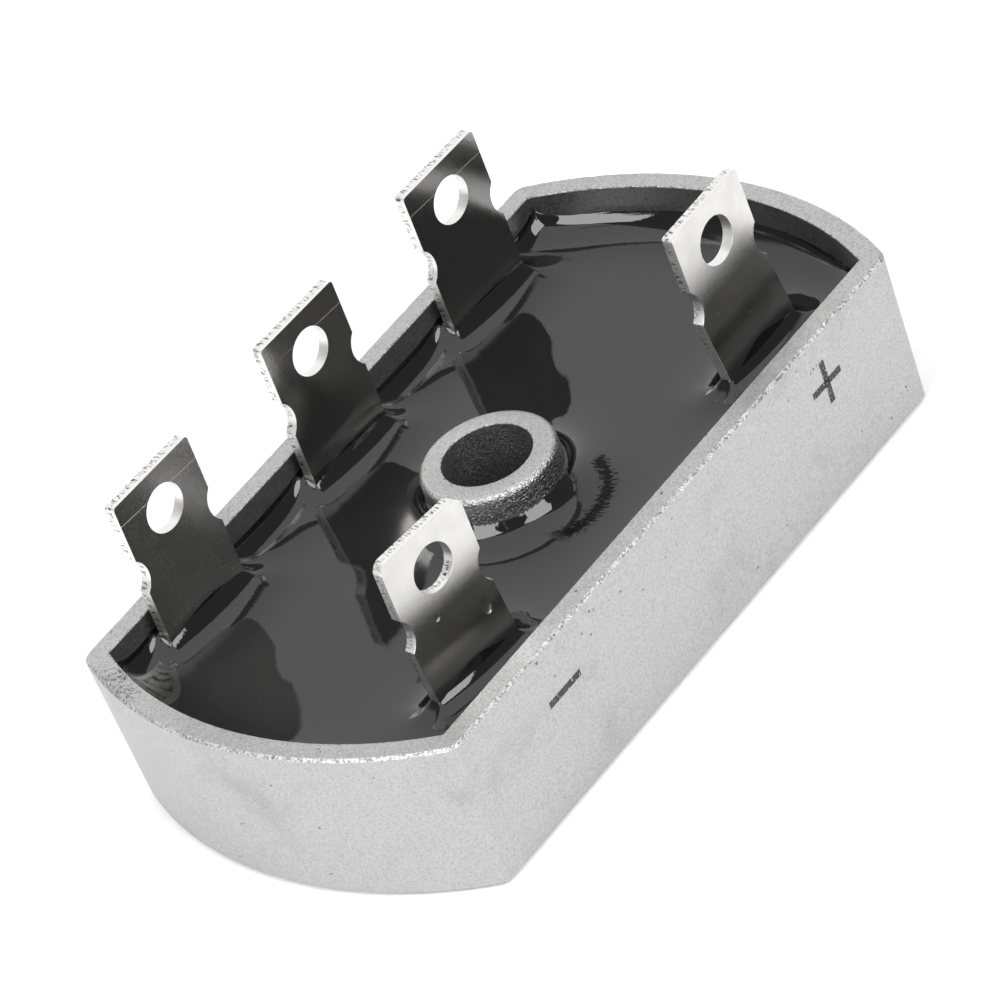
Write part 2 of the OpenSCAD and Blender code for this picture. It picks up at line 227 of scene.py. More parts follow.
def cast_aluminium(name, colour, dark, grain, relief, rough, spots, pits=0):
    """Aluminium casting, tumbled and matte: its sandy skin scatters the light, with
    darker speckles, soft cloudy stains and a few dark pits. The grain is drawn as
    coarse as the picture needs to show it. Pits says how dark the curled casting pits
    are that gather near one corner, if the finish has them."""
    material, tree = new_material(name)
    place = add(tree, "ShaderNodeTexCoord").outputs["Object"]
    sand = add(tree, "ShaderNodeTexNoise", {
        "Vector": place, "Scale": 1 / (grain * MM), "Detail": 2, "Roughness": 0.6})
    speckle = add(tree, "ShaderNodeTexNoise", {
        "Vector": place, "Scale": 1 / (1.4 * grain * MM), "Detail": 3, "Roughness": 0.7})
    stain = add(tree, "ShaderNodeTexNoise", {
        "Vector": place, "Scale": 1 / (5 * MM), "Detail": 5, "Roughness": 0.65})
    pit = add(tree, "ShaderNodeTexNoise", {
        "Vector": place, "Scale": 1 / (0.5 * MM), "Detail": 1, "Roughness": 0.5})
    speckled = add(tree, "ShaderNodeMapRange", {
        "Value": speckle.outputs["Fac"], "From Min": 0.3, "From Max": 0.62,
        "To Min": spots, "To Max": 0}, interpolation_type="SMOOTHSTEP")
    stained = add(tree, "ShaderNodeMapRange", {
        "Value": stain.outputs["Fac"], "From Min": 0.5, "From Max": 0.8,
        "To Min": 0, "To Max": 0.3}, interpolation_type="SMOOTHSTEP")
    pitted = add(tree, "ShaderNodeMapRange", {
        "Value": pit.outputs["Fac"], "From Min": 0.76, "From Max": 0.8,
        "To Min": 0, "To Max": 0.7}, interpolation_type="SMOOTHSTEP")
    base = add(tree, "ShaderNodeMix", {
        FACTOR: speckled.outputs["Result"], COLOUR_A: (*colour, 1), COLOUR_B: (*dark, 1),
    }, data_type="RGBA")
    clouded = add(tree, "ShaderNodeMix", {
        FACTOR: stained.outputs["Result"], COLOUR_A: base.outputs[MIXED],
        COLOUR_B: (*dark, 1)}, data_type="RGBA")
    holed = add(tree, "ShaderNodeMix", {
        FACTOR: pitted.outputs["Result"], COLOUR_A: clouded.outputs[MIXED],
        COLOUR_B: (*[c * 0.3 for c in dark], 1)}, data_type="RGBA")
    surface = holed
    if pits:
        away = add(tree, "ShaderNodeVectorMath", {0: place, 1: PITS_CENTRE},
                   operation="DISTANCE")
        patch = add(tree, "ShaderNodeMapRange", {
            "Value": away.outputs["Value"], "From Min": 0.6 * PITS_REACH,
            "From Max": PITS_REACH, "To Min": pits, "To Max": 0},
            interpolation_type="SMOOTHSTEP")
        # Thin bands where the noise passes its middle value make the curled lines
        crumb = add(tree, "ShaderNodeTexNoise", {
            "Vector": place, "Scale": 1 / (0.55 * MM), "Detail": 2, "Roughness": 0.6})
        above = add(tree, "ShaderNodeMath", {0: crumb.outputs["Fac"], 1: 0.5},
                    operation="SUBTRACT")
        band = add(tree, "ShaderNodeMath", {0: above.outputs["Value"]},
                   operation="ABSOLUTE")
        curled = add(tree, "ShaderNodeMapRange", {
            "Value": band.outputs["Value"], "From Min": 0.012, "From Max": 0.035,
            "To Min": 1, "To Max": 0}, interpolation_type="SMOOTHSTEP")
        pocked = add(tree, "ShaderNodeMath", {
            0: patch.outputs["Result"], 1: curled.outputs["Result"]}, operation="MULTIPLY")
        surface = add(tree, "ShaderNodeMix", {
            FACTOR: pocked.outputs["Value"], COLOUR_A: holed.outputs[MIXED],
            COLOUR_B: (*[c * 0.3 for c in dark], 1)}, data_type="RGBA")
    matte = add(tree, "ShaderNodeMapRange", {
        "Value": sand.outputs["Fac"], "From Min": 0.3, "From Max": 0.7,
        "To Min": rough - 0.08, "To Max": rough + 0.12})
    skin = add(tree, "ShaderNodeBump", {
        "Height": sand.outputs["Fac"], "Distance": relief * MM, "Strength": 1.0})
    shader = add(tree, "ShaderNodeBsdfPrincipled", {
        "Base Color": surface.outputs[MIXED], "Metallic": 1.0,
        "Roughness": matte.outputs["Result"], "Normal": skin.outputs["Normal"]})
    add(tree, "ShaderNodeOutputMaterial", {"Surface": shader.outputs["BSDF"]})
    return material


def poured_epoxy(name, colour):
    """Black epoxy, poured and cured: a glassy skin with a slight ripple that ruffles
    the edges of what it mirrors."""
    material, tree = new_material(name)
    place = add(tree, "ShaderNodeTexCoord").outputs["Object"]
    wave = add(tree, "ShaderNodeTexNoise", {
        "Vector": place, "Scale": 1 / (0.35 * MM), "Detail": 3, "Roughness": 0.65})
    shade = add(tree, "ShaderNodeTexNoise", {
        "Vector": place, "Scale": 1 / (8 * MM), "Detail": 2, "Roughness": 0.5})
    base = add(tree, "ShaderNodeMix", {
        FACTOR: shade.outputs["Fac"], COLOUR_A: (*colour, 1),
        COLOUR_B: (*[c * 1.6 for c in colour], 1)}, data_type="RGBA")
    skin = add(tree, "ShaderNodeBump", {
        "Height": wave.outputs["Fac"], "Distance": 0.0024 * MM, "Strength": 1.0})
    # A dull, ragged scuff on an arc round the boss, scored across by fine lines
    part = add(tree, "ShaderNodeSeparateXYZ", {"Vector": place})
    flat = add(tree, "ShaderNodeCombineXYZ", {
        "X": part.outputs["X"], "Y": part.outputs["Y"], "Z": 0})
    radius = add(tree, "ShaderNodeVectorMath", {0: flat.outputs["Vector"], 1: SCUFF_CENTRE},
                 operation="DISTANCE")
    lines = add(tree, "ShaderNodeMapping", {
        "Vector": place, "Rotation": (0, 0, SCUFF_TURN), "Scale": (1.8, 0.7, 1),
    }, vector_type="TEXTURE")
    scratch = add(tree, "ShaderNodeTexNoise", {
        "Vector": lines.outputs["Vector"], "Scale": 1 / (0.28 * MM), "Detail": 4,
        "Roughness": 0.75})
    spread = add(tree, "ShaderNodeMapRange", {
        "Value": scratch.outputs["Fac"], "From Min": 0.25, "From Max": 0.75,
        "To Min": -SCUFF_R - 0.7 * MM, "To Max": -SCUFF_R + 0.7 * MM})
    off = add(tree, "ShaderNodeMath", {
        0: radius.outputs["Value"], 1: spread.outputs["Result"]}, operation="ADD")
    width = add(tree, "ShaderNodeMath", {0: off.outputs["Value"]}, operation="ABSOLUTE")
    beside = add(tree, "ShaderNodeMapRange", {
        "Value": width.outputs["Value"], "From Min": 0.35 * MM, "From Max": 0.5 * MM,
        "To Min": 1, "To Max": 0}, interpolation_type="SMOOTHSTEP")
    front = add(tree, "ShaderNodeMapRange", {
        "Value": part.outputs["Y"], "From Min": -4.6 * MM, "From Max": -4.2 * MM,
        "To Min": 1, "To Max": 0}, interpolation_type="SMOOTHSTEP")
    right = add(tree, "ShaderNodeMapRange", {
        "Value": part.outputs["X"], "From Min": -3 * MM, "From Max": -2 * MM,
        "To Min": 0, "To Max": 1}, interpolation_type="SMOOTHSTEP")
    ends = add(tree, "ShaderNodeMath", {
        0: front.outputs["Result"], 1: right.outputs["Result"]}, operation="MULTIPLY")
    scuff = add(tree, "ShaderNodeMath", {
        0: beside.outputs["Result"], 1: ends.outputs["Value"]}, operation="MULTIPLY")
    gloss = add(tree, "ShaderNodeMapRange", {
        "Value": scuff.outputs["Value"], "To Min": 0.5, "To Max": 0.04})
    scored = add(tree, "ShaderNodeBump", {
        "Height": scratch.outputs["Fac"], "Distance": 0.05 * MM,
        "Strength": scuff.outputs["Value"], "Normal": skin.outputs["Normal"]})
    shader = add(tree, "ShaderNodeBsdfPrincipled", {
        "Base Color": base.outputs[MIXED], "Roughness": 0.02, "IOR": 1.58,
        "Specular IOR Level": gloss.outputs["Result"], "Normal": scored.outputs["Normal"]})
    add(tree, "ShaderNodeOutputMaterial", {"Surface": shader.outputs["BSDF"]})
    return material


def tin_plating(name, colour, rough):
    """Tin plating over rolled brass: a bright skin, slightly pebbled so that it ruffles
    what it reflects, with cloudy patches and a few specks. A larger roughness gives the
    greyer look of plating that has been handled."""
    material, tree = new_material(name)
    place = add(tree, "ShaderNodeTexCoord").outputs["Object"]
    pebble = add(tree, "ShaderNodeTexNoise", {
        "Vector": place, "Scale": 1 / (0.3 * MM), "Detail": 3, "Roughness": 0.6})
    cloud = add(tree, "ShaderNodeTexNoise", {
        "Vector": place, "Scale": 1 / (2.5 * MM), "Detail": 4, "Roughness": 0.6})
    speck = add(tree, "ShaderNodeTexNoise", {
        "Vector": place, "Scale": 1 / (0.25 * MM), "Detail": 1, "Roughness": 0.5})
    dulled = add(tree, "ShaderNodeMapRange", {
        "Value": cloud.outputs["Fac"], "From Min": 0.35, "From Max": 0.7,
        "To Min": 0, "To Max": 0.5}, interpolation_type="SMOOTHSTEP")
    base = add(tree, "ShaderNodeMix", {
        FACTOR: dulled.outputs["Result"], COLOUR_A: (*colour, 1),
        COLOUR_B: (*[c * 0.75 for c in colour], 1)}, data_type="RGBA")
    satin = add(tree, "ShaderNodeMapRange", {
        "Value": cloud.outputs["Fac"], "From Min": 0.35, "From Max": 0.7,
        "To Min": rough, "To Max": rough + 0.03}, interpolation_type="SMOOTHSTEP")
    pitted = add(tree, "ShaderNodeMapRange", {
        "Value": speck.outputs["Fac"], "From Min": 0.78, "From Max": 0.84,
        "To Min": 0, "To Max": 0.05}, interpolation_type="SMOOTHSTEP")
    blurred = add(tree, "ShaderNodeMath", {
        0: satin.outputs["Result"], 1: pitted.outputs["Result"]}, operation="ADD")
    skin = add(tree, "ShaderNodeBump", {
        "Height": pebble.outputs["Fac"], "Distance": 0.0035 * MM, "Strength": 1.0})
    shader = add(tree, "ShaderNodeBsdfPrincipled", {
        "Base Color": base.outputs[MIXED], "Metallic": 1.0,
        "Roughness": blurred.outputs["Value"], "Normal": skin.outputs["Normal"]})
    add(tree, "ShaderNodeOutputMaterial", {"Surface": shader.outputs["BSDF"]})
    return material


def sheared_edge(name, colour, tick_from, dark, relief, rough):
    """A lug's sheared edge: bright where the die rubbed it smooth, with dark ticks
    across it where the sheet tore."""
    material, tree = new_material(name)
    place = add(tree, "ShaderNodeTexCoord").outputs["Object"]
    stretched = add(tree, "ShaderNodeMapping", {"Vector": place, "Scale": (1, 0.3, 1)})
    tick = add(tree, "ShaderNodeTexNoise", {
        "Vector": stretched.outputs["Vector"], "Scale": 1 / (0.13 * MM), "Detail": 3,
        "Roughness": 0.7})
    ticked = add(tree, "ShaderNodeMapRange", {
        "Value": tick.outputs["Fac"], "From Min": tick_from, "From Max": tick_from + 0.1,
        "To Min": 1, "To Max": 0}, interpolation_type="SMOOTHSTEP")
    base = add(tree, "ShaderNodeMix", {
        FACTOR: ticked.outputs["Result"], COLOUR_A: (*colour, 1),
        COLOUR_B: (*[c * dark for c in colour], 1)}, data_type="RGBA")
    skin = add(tree, "ShaderNodeBump", {
        "Height": tick.outputs["Fac"], "Distance": relief * MM, "Strength": 1.0})
    shader = add(tree, "ShaderNodeBsdfPrincipled", {
        "Base Color": base.outputs[MIXED], "Metallic": 1.0, "Roughness": rough,
        "Normal": skin.outputs["Normal"]})
    add(tree, "ShaderNodeOutputMaterial", {"Surface": shader.outputs["BSDF"]})
    return material


def stamped_ink(name, ink, ground):
    """Stamped ink on a sandy casting: it misses the hollows, so the metal shows."""
    material, tree = new_material(name)
    place = add(tree, "ShaderNodeTexCoord").outputs["Object"]
    grain = add(tree, "ShaderNodeTexNoise", {
        "Vector": place, "Scale": 1 / (0.18 * MM), "Detail": 2, "Roughness": 0.5})
    missed = add(tree, "ShaderNodeMapRange", {
        "Value": grain.outputs["Fac"], "From Min": 0.6, "From Max": 0.68,
        "To Min": 0, "To Max": 1}, interpolation_type="SMOOTHSTEP")
    base = add(tree, "ShaderNodeMix", {
        FACTOR: missed.outputs["Result"], COLOUR_A: (*ink, 1), COLOUR_B: (*ground, 1),
    }, data_type="RGBA")
    skin = add(tree, "ShaderNodeBump", {
        "Height": grain.outputs["Fac"], "Distance": 0.02 * MM, "Strength": 1.0})
    shader = add(tree, "ShaderNodeBsdfPrincipled", {
        "Base Color": base.outputs[MIXED], "Metallic": missed.outputs["Result"],
        "Roughness": 0.6, "Normal": skin.outputs["Normal"]})
    add(tree, "ShaderNodeOutputMaterial", {"Surface": shader.outputs["BSDF"]})
    return material


def inner_solid(name, colour, metallic, rough, grain):
    """A piece that the resin covers: one even colour with a fine grain, as its metal,
    crystal or ceramic looks when it is cut open."""
    material, tree = new_material(name)
    place = add(tree, "ShaderNodeTexCoord").outputs["Object"]
    speck = add(tree, "ShaderNodeTexNoise", {
        "Vector": place, "Scale": 1 / (grain * MM), "Detail": 2, "Roughness": 0.5})
    base = add(tree, "ShaderNodeMix", {
        FACTOR: speck.outputs["Fac"], COLOUR_A: (*colour, 1),
        COLOUR_B: (*[c * 0.8 for c in colour], 1)}, data_type="RGBA")
    skin = add(tree, "ShaderNodeBump", {
        "Height": speck.outputs["Fac"], "Distance": 0.01 * MM, "Strength": 1.0})
    shader = add(tree, "ShaderNodeBsdfPrincipled", {
        "Base Color": base.outputs[MIXED], "Metallic": metallic, "Roughness": rough,
        "Normal": skin.outputs["Normal"]})
    add(tree, "ShaderNodeOutputMaterial", {"Surface": shader.outputs["BSDF"]})
    return material


def pale_paper(name, colour):
    """Seamless studio paper: a pale matte sheet with hardly any fibre showing."""
    material, tree = new_material(name)
    place = add(tree, "ShaderNodeTexCoord").outputs["Object"]
    fibre = add(tree, "ShaderNodeTexNoise", {
        "Vector": place, "Scale": 1 / (2 * MM), "Detail": 2, "Roughness": 0.5})
    base = add(tree, "ShaderNodeMix", {
        FACTOR: fibre.outputs["Fac"], COLOUR_A: (*colour, 1),
        COLOUR_B: (*[c * 0.98 for c in colour], 1)}, data_type="RGBA")
    shader = add(tree, "ShaderNodeBsdfPrincipled", {
        "Base Color": base.outputs[MIXED], "Roughness": 0.9})
    add(tree, "ShaderNodeOutputMaterial", {"Surface": shader.outputs["BSDF"]})
    return material


def finished(name, bm, materials, smooth_angle=None):
    """Turns a bmesh into a piece that rides on the frame."""
    mesh = bpy.data.meshes.new(name)
    if smooth_angle is not None:
        for face in bm.faces:
            face.smooth = True
        for edge in bm.edges:
            edge.smooth = len(edge.link_faces) != 2 or edge.calc_face_angle(0) < smooth_angle
    bm.to_mesh(mesh)
    bm.free()
    piece = bpy.data.objects.new(name, mesh)
    bpy.context.scene.collection.objects.link(piece)
    for material in materials:
        mesh.materials.append(material)
    if smooth_angle is not None:
        weighted = piece.modifiers.new("weighted_normals", "WEIGHTED_NORMAL")
        weighted.keep_sharp = True
    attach(piece, "root")
    return piece


def merged_copy(node, joined=True):
    """The node's mesh, merged, with its triangles joined into plain faces if asked."""
    bm = bmesh.new()
    bm.from_mesh(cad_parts[node].data)
    bmesh.ops.remove_doubles(bm, verts=bm.verts, dist=0.0005 * MM)
    bm.normal_update()
    if joined:
        join_flat(bm, bm.edges)
    return bm


def join_flat(bm, edges):
    """Dissolves the edges that lie in flat faces."""
    bmesh.ops.dissolve_limit(bm, angle_limit=math.radians(0.4), verts=[], edges=list(edges))


def rise_curve(height, capillary):
    """Distances from a wall, and the heights of the resin that creeps up it: the
    shape of a liquid's edge, flat far away and steep at the wall."""
    top = min(height, 1.4 * capillary)
    h = np.geomspace(top, 0.002 * MM, 160)
    d = capillary * np.arccosh(2 * capillary / h) - np.sqrt(4 * capillary**2 - h**2)
    d -= d[0]
    # It goes on rising inside the wall, so the two meet in a clean line
    inside = 0.5 * MM
    slope = (h[0] - h[1]) / (d[1] - d[0])
    return np.append(-inside, d), np.append(h[0] + slope * inside, h)


def foot_distance(x, y, middle, half, turn):
    """Distance from points to a lug's turned rectangular foot, below 0 inside it. It
    is made larger towards the foot's ends, where the resin climbs less."""
    c, s = math.cos(turn), math.sin(turn)
    u = abs((x - middle[0]) * c + (y - middle[1]) * s)
    v = abs((y - middle[1]) * c - (x - middle[0]) * s)
    outside = np.hypot(np.maximum(u - half[0], 0), np.maximum(v - half[1], 0))
    inside = np.minimum(np.maximum(u - half[0], v - half[1]), 0)
    return outside + inside + 0.3 * MM * np.minimum(u / half[0], 1) ** 2


def rim_bevel(bm):
    """The faces of the narrow bevel on the tray's outer rim."""
    return [
        f for f in bm.faces
        if 0.2 < f.normal.z < 0.95
        and f.calc_center_median().z > RIM_Z - 0.25 * MM
        and f.calc_center_median().xy.length > 10 * MM
    ]


def divide_rim(bm):
    """Divides the bevel on the tray's outer rim into short lengths, for its nicks."""
    band = rim_bevel(bm)
    within = set(band)
    join_flat(bm, dict.fromkeys(
        e for f in band for e in f.edges if within.issuperset(e.link_faces)))
    groups = {}
    for face in rim_bevel(bm):
        level = [e for e in face.edges if abs(e.verts[0].co.z - e.verts[1].co.z) < NEARLY]
        cuts = round(max((e.calc_length() for e in level), default=0) / NICK_STEP)
        if len(level) == 2 and cuts > 0:
            groups.setdefault(cuts, {}).update(dict.fromkeys(level))
    for cuts, edges in groups.items():
        edges = [e for e in edges if e.is_valid]
        bmesh.ops.subdivide_edges(bm, edges=edges, cuts=cuts, use_grid_fill=True)


def nick_rim(bm, depth):
    """Chips the tray's outer rim, and gives back the faces of its bevel."""
    band = rim_bevel(bm)
    if not band:
        raise RuntimeError("the tray has no rim bevel to nick")
    for vert in dict.fromkeys(v for f in band for v in f.verts):
        inward = Vector((-vert.co.x, -vert.co.y, 0)).normalized()
        if abs(vert.co.y) > CASE_TOP.y - 0.8 * MM:
            inward = Vector((0, -math.copysign(1, vert.co.y), 0))
        fine, coarse = (noise.noise(vert.co / size) for size in NICK_SIZES)
        chip = max(0, fine + 0.6 * coarse)
        if vert.co.z > RIM_Z - 0.05 * MM:
            vert.co += inward * depth * chip
        else:
            vert.co.z -= depth * chip
    return set(band)


def round_inner_edges(bm, width):
    """Rounds the edges where the rim and the top of the boss turn down inwards."""
    inner_edges = [
        e for e in bm.edges
        if min(v.co.z for v in e.verts) > RIM_Z - 0.05 * MM and len(e.link_faces) == 2
        and max(f.normal.z for f in e.link_faces) > 0.9
        and any(f.normal.z < 0.5 and f.normal.xy.dot(f.calc_center_median().xy) < 0
                for f in e.link_faces)
    ]
    bmesh.ops.bevel(bm, geom=inner_edges, offset=width, offset_type="OFFSET", segments=2,
                    profile=0.5, affect="EDGES", material=-1, clamp_overlap=True)
    bm.normal_update()


# The tray's finishes, in the order that tray_finishes makes them
OUTER, RIM, WORN, BORE, BOSS, INNER = range(6)


def tray_finishes(colours):
    """The materials of the tray's parts, from its outside to its inner walls."""
    return [
        cast_aluminium("tumbled_cast_aluminium", colours.aluminium, linear("#767676"),
                       grain=0.12, relief=0.02, rough=0.5, spots=0.32),
        cast_aluminium("ground_cast_aluminium", colours.rim, linear("#747474"),
                       grain=0.11, relief=0.05, rough=0.4, spots=0.5, pits=0.8),
        cast_aluminium("worn_aluminium_edge", linear("#CCCCCC"), linear("#424242"),
                       grain=0.14, relief=0.06, rough=0.52, spots=0.8),
        # The bore's darker base colour is painted shade, for the shadow inside the
        # through-bore
        cast_aluminium("bore_aluminium_painted_shade", linear("#9C9C9C"), linear("#5A5A5A"),
                       grain=0.15, relief=0.06, rough=0.42, spots=0.6),
        cast_aluminium("as_cast_aluminium", linear("#BCBCBC"), linear("#3C3C3C"),
                       grain=0.15, relief=0.11, rough=0.3, spots=0.6),
        # The walls inside the cavity have a darker base colour than the outside, which is
        # painted shade; their coarser grain is the casting's
        cast_aluminium("inner_wall_aluminium_painted_shade", linear("#808080"), linear("#4A4A4A"),
                       grain=0.18, relief=0.015, rough=0.45, spots=0.4),
    ]


def tray_finish(face, nicked):
    """Which of the tray's finishes a face has."""
    centre = face.calc_center_median()
    furthest = max(v.co.xy.length for v in face.verts)
    inward = face.normal.xy.dot(centre.xy) < 0
    rounded = inward and 0.15 < face.normal.z < 0.95 and centre.z > RIM_Z - 0.2 * MM
    if face in nicked or rounded:
        return WORN
    if face.normal.z > 0.9 and centre.z > RIM_Z - 0.1 * MM:
        return RIM
    if furthest < BORE_R + 0.05 * MM:
        return BORE
    if furthest < BOSS_R + 0.5 * MM:
        return BOSS
    return INNER if inward and centre.z > 3 * MM else OUTER


class RECTIFIER_OT_tray(bpy.types.Operator):
    """Make the cast tray with its nicked rim and set its finishes"""

    bl_idname = "rectifier.tray"
    bl_label = "Tray"

    def execute(self, context):
        sizes, colours = context.scene.rectifier_sizes, context.scene.rectifier_colours
        bm = merged_copy("case", joined=False)
        divide_rim(bm)
        nicked = nick_rim(bm, sizes.nick_depth)
        round_inner_edges(bm, sizes.rim_round)
        finishes = tray_finishes(colours)
        for face in bm.faces:
            face.material_index = tray_finish(face, nicked)
        piece = finished("cast_tray", bm, finishes, math.radians(30))
        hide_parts("case")
        return {"FINISHED"}


def lug_feet():
    """Middle, half size and turn of each lug's section at the resin."""
    feet = []
    for node in AC_LUGS + DC_LUGS:
        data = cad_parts[node].data
        # The blade's outline where the resin's edge meets it, from the mesh's edges
        xs, ys = [], []
        for edge in data.edges:
            a, b = (data.vertices[i].co for i in edge.vertices)
            if min(a.z, b.z) <= FOOT_LEVEL <= max(a.z, b.z) and abs(a.z - b.z) > NEARLY:
                p = a.lerp(b, (FOOT_LEVEL - a.z) / (b.z - a.z))
                xs.append(p.x)
                ys.append(p.y)
        points = np.array([xs, ys]).T
        middle = (points.min(0) + points.max(0)) / 2
        far = points - middle
        axis = np.linalg.svd(far)[2][0]
        turn = math.atan2(axis[1], axis[0])
        turn = (turn + math.pi / 2) % math.pi - math.pi / 2
        c, s = math.cos(turn), math.sin(turn)
        u, v = far[:, 0] * c + far[:, 1] * s, far[:, 1] * c - far[:, 0] * s
        middle = middle + np.array([c, s]) * (u.max() + u.min()) / 2
        middle = middle + np.array([-s, c]) * (v.max() + v.min()) / 2
        feet.append((middle, ((u.max() - u.min()) / 2, (v.max() - v.min()) / 2), turn))
    return feet


def resin_heights(sizes, x, y):
    """Height of the resin at points of the tray, with its creep up all that it meets."""
    rises = []
    for distance, height in (
        (np.maximum(CAVITY_Y - CAVITY_LEAN - abs(y), 0), sizes.wall_creep),
        (np.maximum(CAVITY_R - CAVITY_LEAN - np.hypot(x, y), 0), sizes.wall_creep * 0.85),
        (np.maximum(np.hypot(x, y) - BOSS_R - 0.1 * MM, 0), sizes.boss_creep),
        *((foot_distance(x, y, middle, half, turn), sizes.lug_creep)
          for middle, half, turn in lug_feet()),
    ):
        rises.append(np.interp(distance, *rise_curve(height, sizes.capillary)))
    rise = sum(r**RISE_BLEND for r in rises) ** (1 / RISE_BLEND)
    # The resin wets the front wall nearly to its rim
    film = np.clip(1 - (CAVITY_Y - CAVITY_LEAN + y) / FILM_REACH, 0, 1)
    rise = np.maximum(rise, rise + film * np.maximum(sizes.wall_film - rise, 0))
    return POTTING_Z + rise


def cut_round_boss(bm):
    """Cuts the resin away inside the boss, to a round edge that the boss hides."""
    inside = [f for f in bm.faces if f.calc_center_median().xy.length < RESIN_HOLE_R]
    bmesh.ops.delete(bm, geom=inside, context="FACES")
    for vert in bm.verts:
        if vert.is_boundary and vert.co.xy.length < 2 * RESIN_HOLE_R:
            vert.co.xy = vert.co.xy.normalized() * RESIN_HOLE_R


def close_underneath(bm):
    """Folds the resin's edges down and closes it by a flat underside."""
    edges = [e for e in bm.edges if e.is_boundary]
    below = {}
    for vert in dict.fromkeys(v for e in edges for v in e.verts):
        below[vert] = bm.verts.new((vert.co.x, vert.co.y, POTTING_Z - RESIN_UNDER))
    low = []
    for a, b in [tuple(e.verts) for e in edges]:
        bm.faces.new((a, b, below[b], below[a]))
        low.append(bm.edges.get((below[a], below[b])))
    bmesh.ops.triangle_fill(bm, edges=low, use_beauty=True, normal=(0, 0, -1))
    bmesh.ops.recalc_face_normals(bm, faces=bm.faces)


class RECTIFIER_OT_resin(bpy.types.Operator):
    """Make the resin's surface, which creeps up the walls, the boss and the lugs"""

    bl_idname = "rectifier.resin"
    bl_label = "Resin"

    def execute(self, context):
        sizes, colours = context.scene.rectifier_sizes, context.scene.rectifier_colours
        bm = bmesh.new()
        bmesh.ops.create_grid(bm, x_segments=RESIN_GRID[0], y_segments=RESIN_GRID[1], size=1)
        # The grid is finer towards the walls, where the resin is steep
        spread = np.array([v.co.xy for v in bm.verts])
        dense = 0.5 * spread + 0.5 * np.sin(spread * math.pi / 2)
        y = CAVITY_Y * dense[:, 1]
        x = np.sqrt(CAVITY_R**2 - y**2) * dense[:, 0]
        for vert, px, py, pz in zip(bm.verts, x, y, resin_heights(sizes, x, y)):
            vert.co = (px, py, pz)
        cut_round_boss(bm)
        close_underneath(bm)
        epoxy = poured_epoxy("poured_black_epoxy", colours.resin)
        finished("resin_surface", bm, [epoxy], math.radians(50))
        dress("potting", epoxy)
        return {"FINISHED"}


class RECTIFIER_OT_lugs(bpy.types.Operator):
    """Make the five plated lugs with their sheared edges, marking-out lines and dents"""

    bl_idname = "rectifier.lugs"
    bl_label = "Lugs"

    def execute(self, context):
        sizes, colours = context.scene.rectifier_sizes, context.scene.rectifier_colours
        edges = [
            sheared_edge("burnished_plated_edge", colours.edge, 0.2, 0.6, 0.01, 0.4),
            sheared_edge("torn_plated_edge", colours.edge, 0.38, 0.1, 0.05, 0.35),
        ]
        bright = tin_plating("bright_tin_plating", colours.plating, 0.14)
        satin = tin_plating("satin_tin_plating", colours.plating, 0.22)
        dull = tin_plating("dull_tin_plating", colours.plating, 0.26)
        faces = {"ac_lug_1": dull, "plus_lug": satin, "minus_lug": satin}
        for node, (place, turn) in LUG_FACES.items():
            bm = merged_copy(node)
            front = Vector((math.sin(turn), -math.cos(turn), 0))
            face_point = Vector((*place, 0)) * MM
            everything = bm.verts[:] + bm.edges[:] + bm.faces[:]
            bmesh.ops.bisect_plane(bm, geom=everything, dist=TOUCHING, plane_no=front,
                                   plane_co=face_point - front * BURNISHED)
            if node in AC_LUGS:
                scribe(bm, face_point, front)
            sharp = [e for e in bm.edges if e.calc_face_angle(0) > math.radians(60)]
            bmesh.ops.bevel(bm, geom=sharp, offset=sizes.edge_round, offset_type="OFFSET",
                            segments=2, profile=0.5, affect="EDGES", material=-1,
                            clamp_overlap=True)
            bm.normal_update()
            for face in bm.faces:
                if abs(face.normal.dot(front)) < 0.3 and face.normal.z > -0.9:
                    centre = face.calc_center_median()
                    deep = (centre - face_point).dot(front) < -BURNISHED
                    hole = (centre - face_point - Vector((0, 0, HOLE_Z))).cross(front).length
                    face.material_index = 2 if deep and hole > HOLE_REACH else 1
            skin = BVHTree.FromBMesh(bm)
            finishes = [faces.get(node, bright), *edges]
            piece = finished(node + "_plated", bm, finishes, math.radians(20))
            if node == "minus_lug":
                dent(piece, skin, face_point, front, sizes.dent_r)
            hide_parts(node)
        return {"FINISHED"}


def scribe(bm, face_point, front):
    """Cuts the fine marking-out line that crosses a lug's face above its hole."""
    across = Vector((0, 0, 1)).cross(front)
    up = (Vector((0, 0, 1)) + SCRIBE_SLOPE * across).normalized()
    middle = face_point + Vector((0, 0, SCRIBE_Z))
    for shift in (-SCRIBE_HALF, 0, SCRIBE_HALF):
        geom = bm.verts[:] + bm.edges[:] + bm.faces[:]
        bmesh.ops.bisect_plane(bm, geom=geom, dist=TOUCHING, plane_no=up,
                               plane_co=middle + up * shift)
    for vert in bm.verts:
        away = vert.co - middle
        if abs(away.dot(up)) < 0.001 * MM and away.dot(front) > -NEARLY:
            vert.co -= front * SCRIBE_DEPTH


